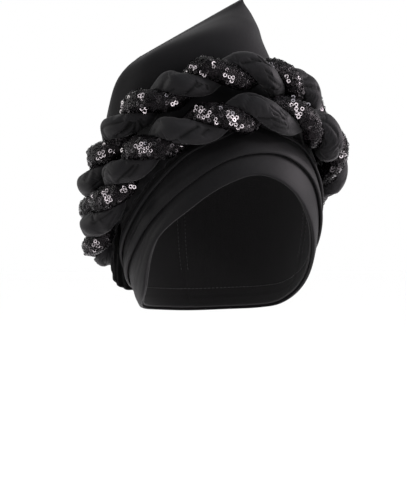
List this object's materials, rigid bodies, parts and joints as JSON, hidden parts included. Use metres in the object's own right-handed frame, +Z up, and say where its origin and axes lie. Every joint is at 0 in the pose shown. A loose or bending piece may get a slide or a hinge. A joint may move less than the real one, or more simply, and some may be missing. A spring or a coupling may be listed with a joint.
{
  "type": "turban",
  "caption": "Ready-tied women's head wrap: fitted cap, overlapping brow bands, twisted satin and sequin ropes and a tall slanting crown pouch.",
  "frame": {"origin": "inside top of the cap, where the top of the head sits", "axes": "+Z up through the crown, the face looks along -Y, and the wearer's left is +X"},
  "size_m": [0.2133, 0.2186, 0.2511],
  "materials": {
    "cap_cloth": "dull black knitted lining cloth",
    "satin": "black cloth with a soft sheen",
    "sequin_cloth": "black cloth covered in small glossy black ring sequins"
  },
  "bodies": {
    "root": {"cap_back_right": "cap_cloth", "cap_front_right": "cap_cloth", "cap_front_left": "cap_cloth", "cap_back_left": "cap_cloth", "brow_band": "satin", "middle_band": "satin", "upper_band": "satin", "crown_pouch": "satin", "front_rope_satin": "satin", "front_rope_sequin": "sequin_cloth", "rear_rope_satin": "satin", "rear_rope_sequin": "sequin_cloth"}
  },
  "joints": []
}
